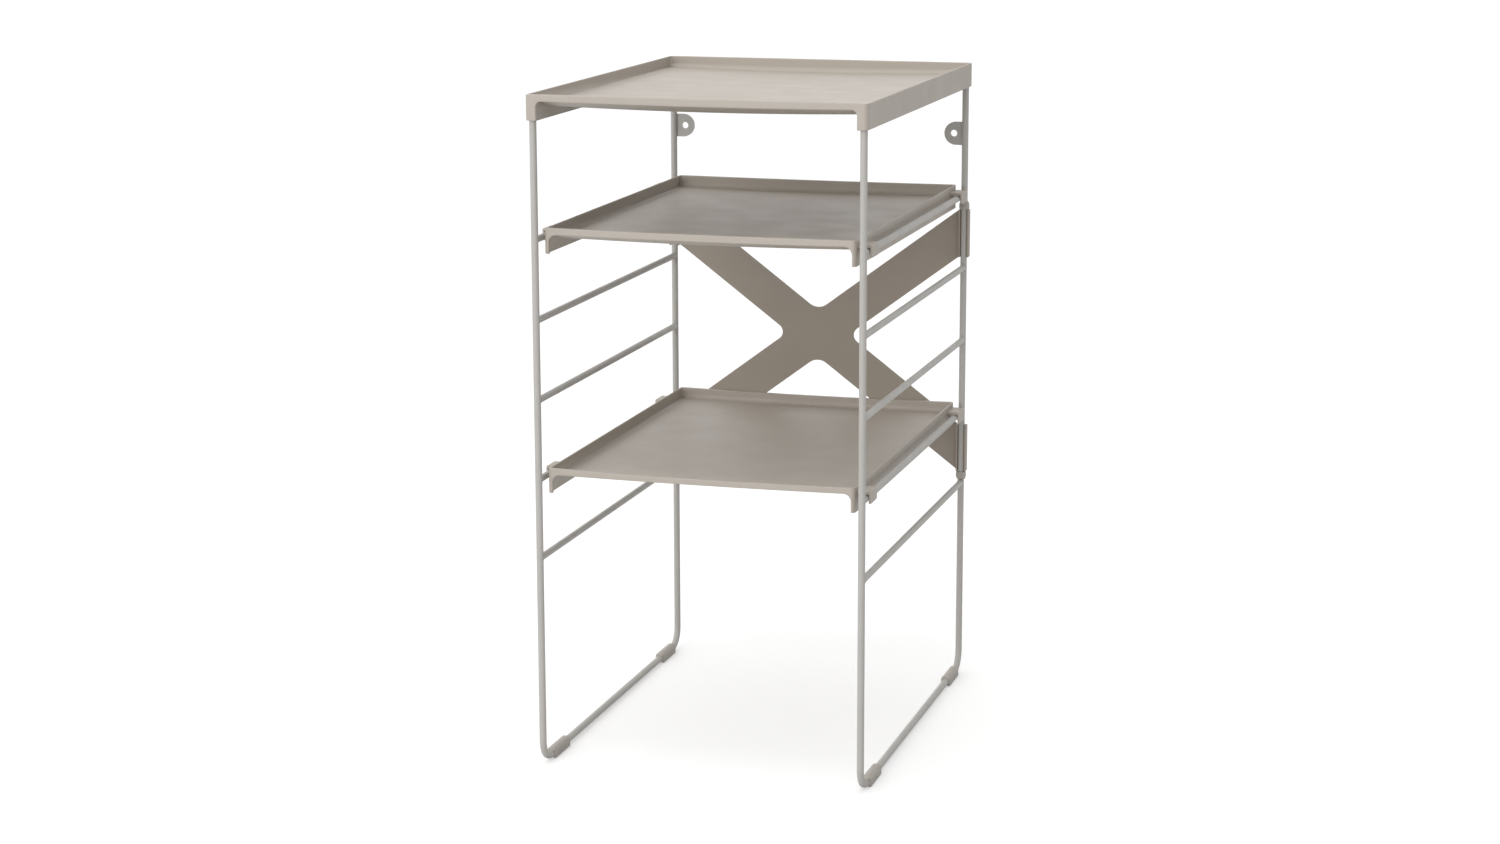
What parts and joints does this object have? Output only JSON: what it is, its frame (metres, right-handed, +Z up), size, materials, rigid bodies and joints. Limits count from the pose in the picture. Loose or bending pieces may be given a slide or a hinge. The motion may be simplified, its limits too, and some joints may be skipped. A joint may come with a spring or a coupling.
{
  "type": "open tray rack",
  "caption": "Low open rack of two bent-rod side frames carrying a capping top tray and lift-off hook-on trays, braced by a clip-on X plate.",
  "frame": {"origin": "middle of the footprint at floor level", "axes": "+Z up, front towards -Y, trays run front to back along Y, side frames to -X and +X"},
  "size_m": [0.3024, 0.406, 0.6],
  "materials": {
    "frame_coat": "satin powder coat",
    "tray_plastic": "satin moulded",
    "brace_plastic": "fine matt moulded",
    "collar_plastic": "matt moulded",
    "foot_plastic": "matt moulded"
  },
  "bodies": {
    "root": {"left_hoop": "frame_coat", "left_rung_1": "frame_coat", "left_rung_2": "frame_coat", "left_rung_3": "frame_coat", "left_rung_4": "frame_coat", "left_rung_5": "frame_coat", "left_wall_tab": "frame_coat", "left_upper_collar": "collar_plastic", "left_lower_collar": "collar_plastic", "left_front_foot": "foot_plastic", "left_rear_foot": "foot_plastic", "right_hoop": "frame_coat", "right_rung_1": "frame_coat", "right_rung_2": "frame_coat", "right_rung_3": "frame_coat", "right_rung_4": "frame_coat", "right_rung_5": "frame_coat", "right_wall_tab": "frame_coat", "right_upper_collar": "collar_plastic", "right_lower_collar": "collar_plastic", "right_front_foot": "foot_plastic", "right_rear_foot": "foot_plastic", "cross_brace": "brace_plastic"},
    "top_tray": {"top_tray": "tray_plastic"},
    "middle_tray": {"middle_tray": "tray_plastic"},
    "lower_tray": {"lower_tray": "tray_plastic"}
  },
  "joints": [
    {"name": "top_tray_lift", "type": "slide", "parent": "root", "child": "top_tray", "axis": [0, 0, 1], "range_m": [0, 0.06]},
    {"name": "middle_tray_lift", "type": "slide", "parent": "root", "child": "middle_tray", "axis": [0, 0, 1], "range_m": [0, 0.04]},
    {"name": "lower_tray_lift", "type": "slide", "parent": "root", "child": "lower_tray", "axis": [0, 0, 1], "range_m": [0, 0.04]}
  ]
}
